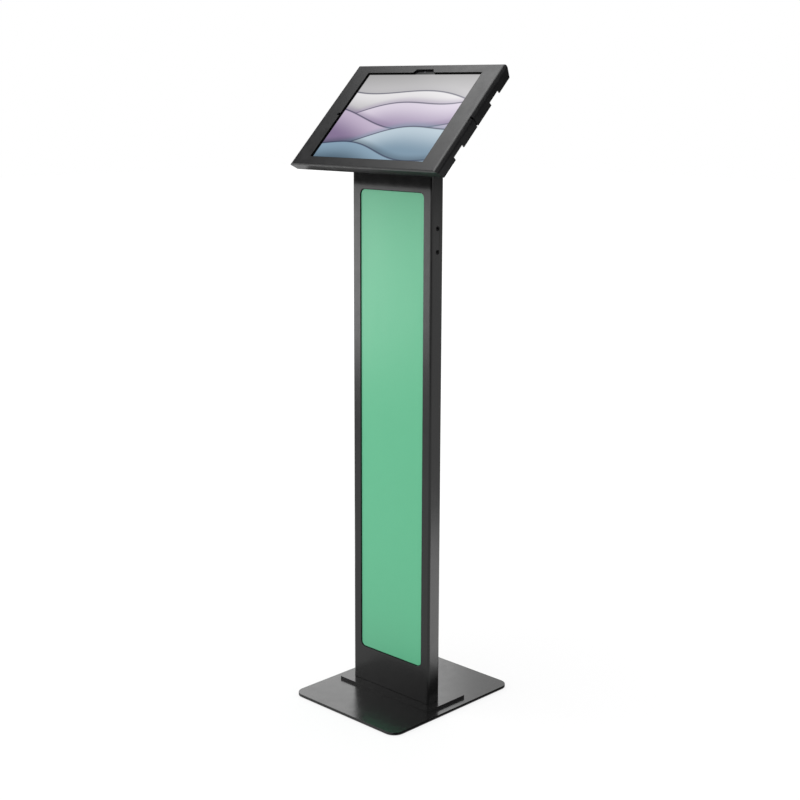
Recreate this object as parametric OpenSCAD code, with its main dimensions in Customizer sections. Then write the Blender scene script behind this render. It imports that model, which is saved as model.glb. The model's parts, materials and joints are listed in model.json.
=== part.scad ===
// Floor-standing security kiosk for a 13-inch 4:3 tablet.
// Millimetres, +Z up, the front faces -Y, origin on the floor under the centre of the base plate.

/* [Base] */
// Width of the base plate
base_w = 254; // [200:1:400]
// Depth of the base plate, front to back
base_d = 302; // [240:1:420]
// Thickness of the base plate
base_t = 5; // [3:0.5:8]
// Radius of the base plate's corners
base_r = 20; // [4:1:40]
// Diameter of the rubber pads under the base
pad_d = 30; // [16:1:50]
// Thickness of the rubber pads
pad_t = 1; // [1:0.5:4]
// Distance from the base's edge to a pad's centre
pad_inset = 27; // [26:1:50]
// Width of the foot plate under the column
foot_w = 220; // [204:1:240]
// Depth of the foot plate
foot_d = 98; // [90:1:140]
// Thickness of the foot plate
foot_t = 5; // [3:0.5:8]
// Corner radius of the foot plate
foot_r = 2; // [1:0.5:6]
// Distance of the foot plate's centre ahead of the base's centre
foot_forward = 2.5; // [0:0.5:10]

/* [Column] */
// Outer width of the column
column_w = 187; // [170:1:198]
// Outer depth of the column
column_d = 28.5; // [26:0.5:40]
// Outside bend radius of the column's four long edges
column_r = 4; // [3.5:0.5:8]
// Thickness of the folded column sheet
column_sheet = 2; // [1.5:0.5:3]
// Distance of the column's front face ahead of the base's centre
column_forward = 32; // [24:0.5:40]
// Height of the column's top above the floor
column_top = 958; // [930:1:966]
// Width of the window for the graphic panel
window_w = 150; // [100:1:154]
// Height of the window's lower edge above the floor
window_bottom = 76; // [72:1:200]
// Height of the window's upper edge above the floor
window_top = 907; // [800:1:920]
// Radius of the window's corners
window_r = 10; // [4:1:20]
// Height of the lower bracket screw above the floor
side_screw_low = 810; // [806:1:830]
// Distance between the two bracket screws on a side
side_screw_pitch = 39; // [25:1:60]
// Diameter of the bracket screws
side_screw_d = 7.9; // [4:0.1:9]

/* [Graphic panel] */
// Thickness of the graphic panel
panel_t = 2.5; // [1.5:0.1:2.8]
// Gap around the graphic panel in its window
panel_gap = 1; // [0.5:0.1:2]
// Thickness of the backer sheet behind the panel
backer_t = 1; // [0.8:0.1:1.2]
// Width of the backer's welded rim
backer_rim = 3; // [2:0.5:5]
// Diameter of the holding magnets
magnet_d = 12; // [8:1:20]
// Thickness of the holding magnets
magnet_t = 2; // [1.5:0.1:3]

/* [Rear cover] */
// Width of the rear cover
rear_w = 168; // [150:1:184]
// Thickness of the rear cover
rear_t = 1.5; // [1:0.1:2.5]
// Distance from the rear cover's side edge to its screws
rear_screw_edge = 6; // [5:0.5:7]
// Overlap of the rear cover on each lip of the column
rear_lap = 14; // [12:0.5:20]
// Diameter of the rear screws
rear_screw_d = 3.9; // [3:0.1:5]
// Diameter of the cable outlet's rubber mouth
outlet_d = 16; // [8:0.5:20]
// Height of the cable outlet above the floor
outlet_z = 45; // [40:1:60]

/* [Head] */
// Tilt of the head from the horizontal, in degrees
tilt = 45; // [40:0.5:50]
// Distance of the head's face centre ahead of the base's centre
head_forward = 25.3; // [20:0.1:30]
// Height of the head's face centre above the floor
head_z = 1031.5; // [1020:0.5:1060]
// Thickness of the turning plate
rotor_t = 3; // [2.5:0.5:4]
// Thickness of the bracket's tilted plate
stator_t = 3; // [2.5:0.5:4]
// Distance from the tray's screws to the edge of the turning plate and of the tilted plate
plate_edge = 8; // [6:0.5:12]
// Thickness of the friction washer
washer_t = 1; // [0.5:0.1:2]
// Diameter of the pivot bolt's shoulder
pivot_d = 12; // [8:0.5:16]
// Radius at which the stop pin runs
stop_radius = 36; // [33:0.5:40]
// Diameter of the stop pin
stop_d = 5; // [3:0.5:6]
// Turn between landscape and portrait, in degrees
turn = 90; // [60:5:90]
// Side of the square screw pattern that carries the tray
mount_pitch = 100; // [75:25:100]

/* [Front cover] */
// Width of the front cover
cover_w = 343; // [300:1:370]
// Height of the front cover along its slope
cover_h = 237; // [230:0.5:240]
// Depth of the cover's walls
cover_depth = 21.5; // [20:0.5:26]
// Thickness of the cover's sheet
cover_sheet = 2; // [1.5:0.1:2.2]
// Radius of the cover's long side edges
cover_edge_r = 8; // [3:0.5:9]
// Outside bend radius of the cover's top and bottom edges
cover_fold_r = 2.5; // [2.5:0.5:4.5]
// How far the top wall leans in over its depth
top_inset = 11; // [5:0.5:12]
// How far the bottom wall leans in over its depth
bottom_inset = 8; // [2:0.5:9]
// How far the cover laps over the display's edge
opening_lap = 0.5; // [0:0.1:4]
// Corner radius of the screen opening
opening_r = 1.5; // [1:0.5:4]
// Width of the camera notch at the opening's edge
notch_w = 48; // [30:1:50]
// Width of the camera notch at its outer edge
notch_top_w = 39; // [20:1:44]
// Height of the camera notch
notch_h = 7.5; // [5:0.5:8]
// Radius of the round sensor notch in the left edge
sensor_r = 3.2; // [2:0.1:5]
// Distance of the sensor notch's centre outside the opening's edge
sensor_out = 3; // [0:0.1:3]
// Length of the notches in the side walls' back edge
wall_notch = 27.4; // [15:0.1:32]
// Depth of the notches in the side walls' back edge
wall_notch_depth = 6; // [3:0.5:7]
// Distance of a wall notch's middle from the cover's middle
wall_notch_s = 59.3; // [45:0.1:62]
// Width of the slit in the middle of each side wall
slit_w = 3; // [1:0.1:5]
// Distance of the slit's front end behind the cover's face
slit_start = 1; // [0.5:0.1:4]

/* [Tablet] */
// Margin from the tablet's short sides to the cover's sides
side_margin = 33; // [29:0.5:35]
// Margin from the tablet's long sides to the cover's top and bottom edges
edge_margin = 13; // [10:0.5:15]
// Thickness of the tablet
tablet_t = 6.2; // [5.5:0.1:6.6]
// Corner radius of the tablet
tablet_r = 16; // [8:0.5:20]
// Width of the dark border around the display
border = 6.5; // [5.5:0.5:10]
// Thickness of the glass layer
glass_t = 0.6; // [0.4:0.1:1]

/* [Tray and lock] */
// Thickness of the tray's sheet
tray_sheet = 2; // [1.5:0.1:2.2]
// Thickness of the foam pads under the tablet
foam_t = 2.3; // [2.1:0.1:2.6]
// Thickness of the foam seal behind the cover's face
seal_t = 1; // [0.8:0.1:1.2]
// Diameter of the hinge pins
hinge_pin_d = 4; // [3:0.1:4.4]
// Outer diameter of the hinge knuckles
knuckle_d = 8; // [7.6:0.1:8.4]
// Distance of the lock's axis from the cover's side
lock_inset = 18; // [16:0.5:19]
// Diameter of the lock's threaded barrel
lock_d = 12; // [11:0.5:13]
// Diameter of the lock's turning plug
plug_d = 9; // [7:0.5:9]
// Reach of the lock's cam from its axis
cam_reach = 13; // [11:0.5:14]

/* [Fits] */
// Radial clearance of a turning fit
run_fit = 0.06; // [0.02:0.01:0.1]
// Radial clearance of a screw in its thread
thread_fit = 0.02; // [0.01:0.01:0.05]
// Radial clearance of a screw in a plain hole
screw_fit = 0.1; // [0.05:0.05:0.5]
// Clearance between parts that slide past each other
slide_gap = 0.4; // [0.3:0.1:0.8]

/* [Hidden] */
$fn = 96;
// overshoot of a cut past the face it opens
over = 1;
// levels of the base
base_top = pad_t + base_t;
foot_top = base_top + foot_t;
foot_y = -foot_forward;
// faces of the column
front_y = -column_forward;
back_y = front_y + column_d;
in_front = front_y + column_sheet;
in_back = back_y - column_sheet;
in_half = column_w / 2 - column_sheet;
mid_y = (front_y + back_y) / 2;
in_depth = in_back - in_front;
// radius of parts that stand in the column's inner corners, larger than the bend
corner_r = column_r - column_sheet + 1;
// inner walls of the shoe and of the bracket
plate_t = 3;
shoe_top = 62;
// countersunk screws of the foot plate
foot_screw_r = 2.5;
foot_screw_x = foot_w / 2 - 11;
foot_screw_y = foot_d / 2 - 10;
// bolts up into the column's shoe
bolt_r = 3;
bolt_xs = [-75, -30, 30, 75];
nut_r = 5.77;
nut_h = 5;
bolt_top = foot_top + plate_t + nut_h + 1;
// graphic panel pocket
panel_front = in_front;
panel_back = panel_front + panel_t;
backer_back = panel_back + backer_t;
backer_w = window_w + 2 * backer_rim;
window_h = window_top - window_bottom;
window_z = (window_top + window_bottom) / 2;
backer_h = window_h + 2 * backer_rim;
magnet_edge = 15;
magnet_rise = 46;
magnet_drop = 30;
magnet_x = window_w / 2 - magnet_edge;
// rear cover
rear_gap = rear_w - 2 * rear_lap;
rear_bottom = foot_top + 5;
rear_top = column_top - 6;
rear_screw_r = rear_screw_d / 2;
rear_screw_x = rear_w / 2 - rear_screw_edge;
rear_zs = [30, 340, 640, column_top - 26];
outlet_r = outlet_d / 2;
outlet_hole_r = outlet_r + 3;
// head bracket inside the column
bracket_bottom = side_screw_low - 18;
bracket_top = column_top - 11;
magnet_high = bracket_bottom - magnet_drop;
magnet_low = window_bottom + magnet_rise;
magnet_zs = [magnet_low, (magnet_low + magnet_high) / 2, magnet_high];
bracket_front = backer_back + 0.5;
neck_back = in_back - 3.5;
neck_d = neck_back - bracket_front;
cheek_x = 45;
cheek_t = 4;
side_screw_r = side_screw_d / 2;
side_nut_r = side_screw_r + 3;
side_zs = [side_screw_low, side_screw_low + side_screw_pitch];
cap_t = 2;
// tablet, display and opening, each from the size around it
tablet_w = cover_w - 2 * side_margin;
tablet_h = cover_h - 2 * edge_margin;
display_w = tablet_w - 2 * border;
display_h = tablet_h - 2 * border;
opening_w = display_w - 2 * opening_lap;
opening_h = display_h - 2 * opening_lap;
// layers of the head along its outward normal, zero on the cover's face
glass_n = -cover_sheet - seal_t;
seal_relief = seal_t / 2;
tablet_n = glass_n - tablet_t;
tray_n = tablet_n - foam_t;
tray_back = tray_n - tray_sheet;
rotor_back = tray_back - rotor_t;
washer_back = rotor_back - washer_t;
stator_back = washer_back - stator_t;
// side of the turning plate and of the tilted plate
plate_side = mount_pitch + 2 * plate_edge;
// spring washer and nut behind the tilted plate
spring_t = 1;
pivot_nut_h = 8;
pivot_r = pivot_d / 2;
pivot_thread_r = pivot_r - 1;
// head of the pivot bolt, ahead of the turning plate
bolt_head_r = 14;
bolt_head_t = 2.4;
// the tray's screws
tray_screw_r = 2;
tray_head_r = 3.8;
tray_head_t = 1.6;
// slope of the top and bottom walls
top_slope = top_inset / cover_depth;
bottom_slope = bottom_inset / cover_depth;
top_wall_s = cover_sheet * sqrt(1 + top_slope * top_slope);
bottom_wall_s = cover_sheet * sqrt(1 + bottom_slope * bottom_slope);
top_lip = cover_h / 2 - top_inset - top_wall_s;
// flats that draw each bend of the top and bottom edges
bend_flats = 6;
// hinge axis inside the top wall's back edge
hinge_s = top_lip - 3;
hinge_n = tray_back - 3.5;
hinge_edge = cover_edge_r + 1;
hinge_half = 10.4;
hinge_leaf = 17;
hinge_outer = cover_w / 2 - hinge_edge;
hinge_split = hinge_outer - hinge_half;
hinge_inner = hinge_split - hinge_half - 0.2;
hinge_fixed_w = hinge_split - slide_gap - hinge_inner;
knuckle_r = knuckle_d / 2;
hinge_pin_r = hinge_pin_d / 2;
// outline of the tray
tray_half = cover_w / 2 - 6;
stop_t = 1.2;
tray_low = -tablet_h / 2 - stop_t;
tray_high = hinge_s - 1.4;
tray_ear_s = hinge_s - knuckle_r - 0.9;
tray_step_x = hinge_inner - 1;
grommet_r = 11;
grommet_x = -tablet_w / 2 + 4 * grommet_r - 0.5;
grommet_s = -30;
// rests and guides of the tablet on the tray
stop_w = 40;
stop_x = tablet_w / 2 - 1.5 * stop_w;
foam_w = 54;
foam_h = 30;
foam_x = (tablet_w - foam_w) / 2 - 11.5;
foam_s = (tablet_h - foam_h) / 2 - 12.5;
guide_w = 6.5;
guide_h = 30;
guide_s = (tablet_h - guide_h) / 2 - 28.5;
// lock
lock_x = cover_w / 2 - lock_inset;
lock_r = lock_d / 2;
plug_r = plug_d / 2;
lock_collar_r = lock_r + 2.5;
lock_face = tray_back - 6.5;
lock_end = tray_n + 4.5;
cam_back = lock_end + 0.5;
cam_t = 2;
cam_half = 4;
catch_inner = cover_w / 2 - cover_sheet;
catch_half = 8;

// Position in the row's frame of a point of the head, s up the slope and n out of the face
function head_at(s, n) = [
    -head_forward + s * cos(tilt) - n * sin(tilt),
    head_z + s * sin(tilt) + n * cos(tilt)
];

// Rectangle with round corners
module round_rect(w, h, r) {
    square([w - 2 * r, h], center = true);
    square([w, h - 2 * r], center = true);
    for (x = [-1, 1], y = [-1, 1])
        translate([x * (w / 2 - r), y * (h / 2 - r)])
            circle(r);
}

// A shape drawn in width and height, made thick from depth y0 to y1
module upright(y0, y1) {
    translate([0, y1, 0])
        rotate([90, 0, 0])
            linear_extrude(y1 - y0)
                children();
}

// A shape drawn in depth and height, made thick from x0 to x1
module crosswise(x0, x1) {
    translate([x0, 0, 0])
        rotate([90, 0, 90])
            linear_extrude(x1 - x0)
                children();
}

// The head's frame: x right, y up the slope, z out of the face
module head() {
    translate([0, -head_forward, head_z])
        rotate([tilt, 0, 0])
            children();
}

// A shape drawn on the head's face, made thick from n0 to n1
module layer(n0, n1) {
    translate([0, 0, n0])
        linear_extrude(n1 - n0)
            children();
}

// A round bar along X
module bar_x(x0, x1, r) {
    translate([x0, 0, 0])
        rotate([0, 90, 0])
            cylinder(h = x1 - x0, r = r);
}

// A round bar along Y
module bar_y(y0, y1, r) {
    translate([0, y0, 0])
        rotate([-90, 0, 0])
            cylinder(h = y1 - y0, r = r);
}

// A screw with a countersunk head flush with its lower end
module sunk_screw(r, z0, z1) {
    translate([0, 0, z0])
        cylinder(h = z1 - z0, r = r);
    translate([0, 0, z0])
        cylinder(h = 0.9 * r, r1 = 1.9 * r, r2 = r);
}

// Places of the foot plate's screws
module at_foot_screws() {
    for (x = [-1, 1], y = [-1, 1])
        translate([x * foot_screw_x, foot_y + y * foot_screw_y, 0])
            children();
}

// Places of the column's bolts
module at_bolts() {
    for (x = bolt_xs)
        translate([x, mid_y, 0])
            children();
}

// Places of the rear screws at the heights zs
module at_rear(zs) {
    for (x = [-1, 1], z = zs)
        translate([x * rear_screw_x, 0, z])
            children();
}

// Places of the bracket screws, seen along +X on each side
module at_side() {
    for (side = [0, 1], z = side_zs)
        mirror([side, 0, 0])
            translate([0, mid_y, z])
                children();
}

// Places of the tray's screws
module at_mount() {
    for (x = [-1, 1], y = [-1, 1])
        translate([x * mount_pitch / 2, y * mount_pitch / 2, 0])
            children();
}

// Steel base plate with countersunk holes from below
module base_plate() {
    color([0.1, 0.1, 0.11])
        difference() {
            translate([0, 0, pad_t])
                linear_extrude(base_t)
                    round_rect(base_w, base_d, base_r);
            at_foot_screws()
                sunk_screw(foot_screw_r + screw_fit, pad_t - 0.01, base_top + over);
            at_bolts()
                sunk_screw(bolt_r + screw_fit, pad_t - 0.01, base_top + over);
        }
}

// Four thin rubber pads under the base
module rubber_pads() {
    color([0.05, 0.05, 0.05])
        for (x = [-1, 1], y = [-1, 1])
            translate([x * (base_w / 2 - pad_inset), y * (base_d / 2 - pad_inset), 0])
                cylinder(h = pad_t, r = pad_d / 2);
}

// Steel foot plate between the base and the column
module foot_plate() {
    color([0.11, 0.11, 0.12])
        difference() {
            translate([0, foot_y, base_top])
                linear_extrude(foot_t)
                    round_rect(foot_w, foot_d, foot_r);
            at_foot_screws()
                translate([0, 0, base_top - over])
                    cylinder(h = foot_t, r = foot_screw_r + thread_fit);
            at_bolts()
                translate([0, 0, base_top - over])
                    cylinder(h = foot_t + 2 * over, r = bolt_r + screw_fit);
        }
}

// Countersunk screws from the base up into the foot plate
module foot_screws() {
    color([0.5, 0.5, 0.52])
        at_foot_screws()
            sunk_screw(foot_screw_r, pad_t, foot_top - over);
}

// Steel shoe that locates the column's lower end
module column_shoe() {
    color([0.3, 0.3, 0.32])
        difference() {
            translate([0, mid_y, foot_top])
                linear_extrude(shoe_top - foot_top)
                    round_rect(2 * in_half, in_depth, corner_r);
            translate([-in_half + plate_t, in_front - over, foot_top + plate_t])
                cube([2 * (in_half - plate_t), in_depth - plate_t + over, shoe_top]);
            translate([-rear_gap / 2 + 30, in_front, foot_top + plate_t])
                cube([rear_gap - 60, in_depth + over, shoe_top]);
            at_bolts()
                translate([0, 0, foot_top - over])
                    cylinder(h = plate_t + 2 * over, r = bolt_r + screw_fit);
            at_rear([rear_zs[0]])
                bar_y(in_back - plate_t - over, in_back + over, rear_screw_r + thread_fit);
        }
}

// Countersunk bolts from the base up through the shoe
module column_bolts() {
    color([0.5, 0.5, 0.52])
        at_bolts()
            sunk_screw(bolt_r, pad_t, bolt_top);
}

// Hexagon nuts on the column's bolts
module column_nuts() {
    color([0.5, 0.5, 0.52])
        at_bolts()
            translate([0, 0, foot_top + plate_t])
                difference() {
                    cylinder(h = nut_h, r = nut_r, $fn = 6);
                    translate([0, 0, -over])
                        cylinder(h = nut_h + 2 * over, r = bolt_r + thread_fit);
                }
}

// Folded sheet column with the window, the rear lips and the side holes
module column_shell() {
    color([0.1, 0.1, 0.11])
        difference() {
            translate([0, mid_y, foot_top])
                linear_extrude(column_top - foot_top)
                    difference() {
                        round_rect(column_w, column_d, column_r);
                        round_rect(2 * in_half, in_depth, column_r - column_sheet);
                        translate([-rear_gap / 2, 0])
                            square([rear_gap, column_d]);
                    }
            translate([0, 0, window_z])
                upright(front_y - over, in_front + over)
                    round_rect(window_w, window_h, window_r);
            at_side()
                bar_x(in_half - over, column_w / 2 + over, side_screw_r + 0.05);
            at_rear(rear_zs)
                bar_y(in_back - over, back_y + over, rear_screw_r + screw_fit);
        }
}

// Shallow steel tray welded behind the window
module panel_backer() {
    color([0.06, 0.06, 0.06])
        difference() {
            translate([0, 0, window_z])
                difference() {
                    upright(in_front, backer_back)
                        round_rect(backer_w, backer_h, window_r + backer_rim);
                    upright(in_front - over, panel_back)
                        round_rect(window_w + 1, window_h + 1, window_r + 0.5);
                }
            for (x = [-1, 1], z = magnet_zs)
                translate([x * magnet_x, 0, z])
                    bar_y(panel_back - over, backer_back + over, magnet_d / 2 + screw_fit);
        }
}

// Disc magnets set in the backer, flush with its face
module panel_magnets() {
    color([0.6, 0.6, 0.62])
        for (x = [-1, 1], z = magnet_zs)
            translate([x * magnet_x, 0, z])
                bar_y(panel_back, panel_back + magnet_t, magnet_d / 2);
}

// Plain graphic panel that is pulled off forwards
module graphic_panel() {
    color([0.45, 0.74, 0.6])
        translate([0, 0, window_z])
            upright(panel_front, panel_back)
                round_rect(window_w - 2 * panel_gap, window_h - 2 * panel_gap, window_r - panel_gap);
}

// Flat sheet that closes the back of the column
module rear_cover() {
    color([0.12, 0.12, 0.13])
        difference() {
            translate([0, 0, (rear_bottom + rear_top) / 2])
                upright(back_y, back_y + rear_t)
                    round_rect(rear_w, rear_top - rear_bottom, 3);
            translate([0, 0, outlet_z])
                bar_y(back_y - over, back_y + rear_t + over, outlet_hole_r + screw_fit);
            at_rear(rear_zs)
                bar_y(back_y - over, back_y + rear_t + over, rear_screw_r + screw_fit);
        }
}

// Round-headed screws of the rear cover with hexagon sockets
module rear_screws() {
    color([0.2, 0.2, 0.21])
        at_rear(rear_zs)
            difference() {
                union() {
                    bar_y(in_back - 5, back_y + rear_t, rear_screw_r);
                    bar_y(back_y + rear_t, back_y + rear_t + 2, 1.85 * rear_screw_r);
                }
                translate([0, back_y + rear_t + 0.6, 0])
                    rotate([-90, 0, 0])
                        cylinder(h = 3, r = 1.4, $fn = 6);
            }
}

// Nuts behind the lips for the rear cover's middle screws
module rear_nuts() {
    color([0.5, 0.5, 0.52])
        at_rear([rear_zs[1], rear_zs[2]])
            difference() {
                translate([0, in_back - 3, 0])
                    rotate([-90, 30, 0])
                        cylinder(h = 3, r = 4.04, $fn = 6);
                bar_y(in_back - 3 - over, in_back + over, rear_screw_r + thread_fit);
            }
}

// Rubber ring that lines the cable outlet
module outlet_grommet() {
    color([0.05, 0.05, 0.05])
        translate([0, back_y, outlet_z])
            rotate([-90, 0, 0])
                difference() {
                    union() {
                        translate([0, 0, -1.5])
                            cylinder(h = 1.5, r = outlet_hole_r + 2.5);
                        cylinder(h = rear_t, r = outlet_hole_r);
                        translate([0, 0, rear_t])
                            cylinder(h = 1.5, r = outlet_hole_r + 2.5);
                    }
                    translate([0, 0, -1.5 - over])
                        cylinder(h = rear_t + 3 + 2 * over, r = outlet_r);
                }
}

// Moulded cap on the column's top, slotted for the bracket's two cheeks
module column_cap() {
    color([0.08, 0.08, 0.08])
        difference() {
            union() {
                translate([0, mid_y, column_top])
                    linear_extrude(cap_t)
                        round_rect(column_w, column_d, column_r);
                translate([0, mid_y, bracket_top + 2])
                    linear_extrude(column_top - bracket_top - 2 + 0.5)
                        difference() {
                            round_rect(2 * in_half - slide_gap, in_depth - slide_gap, corner_r);
                            square([2 * in_half - slide_gap - 3, in_depth - slide_gap - 3], center = true);
                        }
            }
            for (side = [0, 1])
                mirror([side, 0, 0])
                    translate([cheek_x - slide_gap, bracket_front - slide_gap, column_top - over])
                        cube([cheek_t + 2 * slide_gap, neck_d + 2 * slide_gap, cap_t + 2 * over]);
            translate([-70, mid_y, column_top - over])
                cylinder(h = cap_t + 2 * over, r = outlet_r);
        }
}

// Outline of a cheek that rises out of the column to the tilted plate
module cheek_outline() {
    polygon([
        [bracket_front, bracket_bottom],
        [in_back - 1, bracket_bottom],
        [in_back - 1, bracket_top],
        [neck_back, bracket_top],
        [neck_back, column_top + 14],
        head_at(46, stator_back + 1),
        head_at(-46, stator_back + 1),
        [bracket_front, column_top + 8]
    ]);
}

// Welded bracket: channel in the column, two cheeks and the tilted plate
module head_bracket() {
    color([0.1, 0.1, 0.11])
        difference() {
            union() {
                difference() {
                    translate([0, mid_y, bracket_bottom])
                        linear_extrude(bracket_top - bracket_bottom)
                            round_rect(2 * in_half, in_depth, corner_r);
                    translate([-in_half + plate_t, in_front - over, bracket_bottom - over])
                        cube([2 * (in_half - plate_t), in_depth - plate_t + over, column_top]);
                    translate([-column_w, front_y - over, bracket_bottom - over])
                        cube([2 * column_w, bracket_front - front_y + over, column_top]);
                }
                for (side = [0, 1])
                    mirror([side, 0, 0])
                        crosswise(cheek_x, cheek_x + cheek_t)
                            cheek_outline();
                head()
                    layer(stator_back, washer_back)
                        round_rect(plate_side, plate_side, 8);
            }
            head()
                translate([0, 0, stator_back - over])
                    cylinder(h = stator_t + 2 * over, r = pivot_r + screw_fit);
            head()
                rotate([0, 0, 45])
                    translate([stop_radius, 0, stator_back - over])
                        cylinder(h = stator_t + 2 * over, r = stop_d / 2 + thread_fit);
            at_side()
                bar_x(in_half - plate_t - over, in_half + over, side_screw_r + thread_fit);
            at_rear([rear_zs[3]])
                bar_y(in_back - plate_t - over, in_back + over, rear_screw_r + thread_fit);
        }
}

// Grub screws through the column's sides into the bracket
module bracket_screws() {
    color([0.05, 0.05, 0.05])
        at_side()
            difference() {
                bar_x(in_half - 10, column_w / 2 - 1, side_screw_r);
                translate([column_w / 2 - 4, 0, 0])
                    rotate([0, 90, 0])
                        cylinder(h = 5, r = 0.58 * side_screw_r, $fn = 6);
            }
}

// Weld nuts inside the bracket for the grub screws
module bracket_nuts() {
    color([0.5, 0.5, 0.52])
        at_side()
            difference() {
                translate([in_half - plate_t - 5, 0, 0])
                    rotate([0, 90, 0])
                        cylinder(h = 5, r = side_nut_r, $fn = 6);
                bar_x(in_half - plate_t - 5 - over, in_half, side_screw_r + thread_fit);
            }
}

// Shoulder bolt that the head turns on
module pivot_bolt() {
    color([0.55, 0.55, 0.57])
        head()
            difference() {
                union() {
                    layer(tray_back + 0.1, tray_back + 0.1 + bolt_head_t)
                        circle(bolt_head_r);
                    layer(stator_back, tray_back + 0.2)
                        circle(pivot_r);
                    layer(stator_back - spring_t - pivot_nut_h - 3, stator_back + 0.1)
                        circle(pivot_thread_r);
                }
                translate([0, 0, tray_back + bolt_head_t - 1])
                    cylinder(h = 4, r = 4, $fn = 6);
            }
}

// Nylon friction washer between the two plates
module friction_washer() {
    color([0.85, 0.85, 0.8])
        head()
            layer(washer_back, rotor_back)
                difference() {
                    circle(25);
                    circle(pivot_r + slide_gap);
                }
}

// Spring washer under the pivot's nut
module spring_washer() {
    color([0.5, 0.5, 0.52])
        head()
            layer(stator_back - spring_t, stator_back)
                difference() {
                    circle(pivot_r + 4);
                    circle(pivot_thread_r + screw_fit);
                }
}

// Lock nut on the pivot bolt
module pivot_nut() {
    color([0.5, 0.5, 0.52])
        head()
            layer(stator_back - spring_t - pivot_nut_h, stator_back - spring_t)
                difference() {
                    circle(pivot_r + 3.8, $fn = 6);
                    circle(pivot_thread_r + thread_fit);
                }
}

// Pin that ends the turn at landscape and at portrait
module stop_pin() {
    color([0.55, 0.55, 0.57])
        head()
            rotate([0, 0, 45])
                translate([stop_radius, 0, stator_back])
                    cylinder(h = tray_back - stator_back - 0.5, r = stop_d / 2);
}

// Curved slot that the stop pin runs in, with flat ends
module stop_slot() {
    slot = stop_d / 2 + slide_gap;
    lead = asin(slot / stop_radius);
    first = 45 - lead;
    last = 45 + turn + lead;
    middle = (first + last) / 2;
    far = 2 * stop_radius;
    intersection() {
        difference() {
            circle(stop_radius + slot);
            circle(stop_radius - slot);
        }
        polygon([
            [0, 0],
            far * [cos(first), sin(first)],
            2 * far * [cos(middle), sin(middle)],
            far * [cos(last), sin(last)]
        ]);
    }
}

// Turning plate that carries the tray on its square screw pattern
module rotor_plate() {
    color([0.3, 0.3, 0.32])
        head()
            layer(rotor_back, tray_back)
                difference() {
                    round_rect(plate_side, plate_side, 8);
                    circle(pivot_r + run_fit);
                    stop_slot();
                    at_mount()
                        circle(tray_screw_r + thread_fit);
                }
}

// Flat-headed screws from the tray into the turning plate
module tray_screws() {
    color([0.5, 0.5, 0.52])
        head()
            at_mount() {
                layer(tray_n, tray_n + tray_head_t)
                    circle(tray_head_r);
                layer(rotor_back + 0.3, tray_n + 0.1)
                    circle(tray_screw_r);
            }
}

// Sheet tray with side rims and lower stops for the tablet
module tray() {
    rim = 5;
    color([0.13, 0.13, 0.14])
        head() {
            layer(tray_back, tray_n)
                difference() {
                    union() {
                        translate([-tray_half, tray_low])
                            square([2 * tray_half, tray_ear_s - tray_low]);
                        translate([-tray_step_x, tray_low])
                            square([2 * tray_step_x, tray_high - tray_low]);
                    }
                    circle(bolt_head_r + 2);
                    at_mount()
                        circle(tray_screw_r + screw_fit);
                    translate([grommet_x, grommet_s])
                        circle(grommet_r + screw_fit);
                    translate([lock_x, 0])
                        circle(lock_r + screw_fit);
                }
            for (side = [0, 1], half = [0, 1])
                mirror([side, 0, 0])
                    mirror([0, half, 0])
                        translate([tray_half - tray_sheet, catch_half + 8, tray_back])
                            cube([tray_sheet, tray_ear_s - catch_half - 12, tray_sheet + rim]);
            for (side = [-1, 1])
                translate([side * stop_x - stop_w / 2, tray_low, tray_back])
                    cube([stop_w, stop_t, tray_sheet + foam_t + 4]);
        }
}

// Rubber ring for the tablet's lead in the tray
module tray_grommet() {
    color([0.05, 0.05, 0.05])
        head()
            translate([grommet_x, grommet_s, 0])
                difference() {
                    union() {
                        layer(tray_n, tray_n + 1.2)
                            circle(grommet_r + 2.5);
                        layer(tray_back - 0.1, tray_n + 0.1)
                            circle(grommet_r);
                        layer(tray_back - 1.5, tray_back)
                            circle(grommet_r + 2.5);
                    }
                    layer(tray_back - 3, tray_n + 3)
                        circle(outlet_r);
                }
}

// Foam pads between the tray and the tablet
module foam_pads() {
    color([0.15, 0.15, 0.16])
        head()
            for (x = [-1, 1], y = [-1, 1])
                translate([x * foam_x, y * foam_s])
                    layer(tray_n, tablet_n)
                        square([foam_w, foam_h], center = true);
}

// Moulded guides at the tablet's short sides
module tablet_guides() {
    color([0.12, 0.12, 0.12])
        head()
            for (side = [0, 1], y = [-1, 1])
                mirror([side, 0, 0])
                    translate([tablet_w / 2, y * guide_s - guide_h / 2, tray_n])
                        cube([guide_w, guide_h, foam_t + 4.5]);
}

// Aluminium shell of the tablet
module tablet_body() {
    color([0.62, 0.63, 0.65])
        head()
            layer(tablet_n, glass_n - glass_t)
                round_rect(tablet_w, tablet_h, tablet_r);
}

// Black glass border around the display
module tablet_bezel() {
    color([0.02, 0.02, 0.02])
        head()
            layer(glass_n - glass_t, glass_n)
                difference() {
                    round_rect(tablet_w - 1, tablet_h - 1, tablet_r - 0.5);
                    square([display_w, display_h], center = true);
                }
}

// Lit area of the tablet
module tablet_display() {
    color([0.8, 0.82, 0.9])
        head()
            layer(glass_n - glass_t, glass_n)
                square([display_w, display_h], center = true);
}

// Lens of the tablet's camera behind the notch
module tablet_camera() {
    color([0.03, 0.03, 0.06])
        head()
            translate([0, (display_h + tablet_h) / 4, 0])
                layer(glass_n, glass_n + 0.2)
                    circle(1.9);
}

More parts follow.
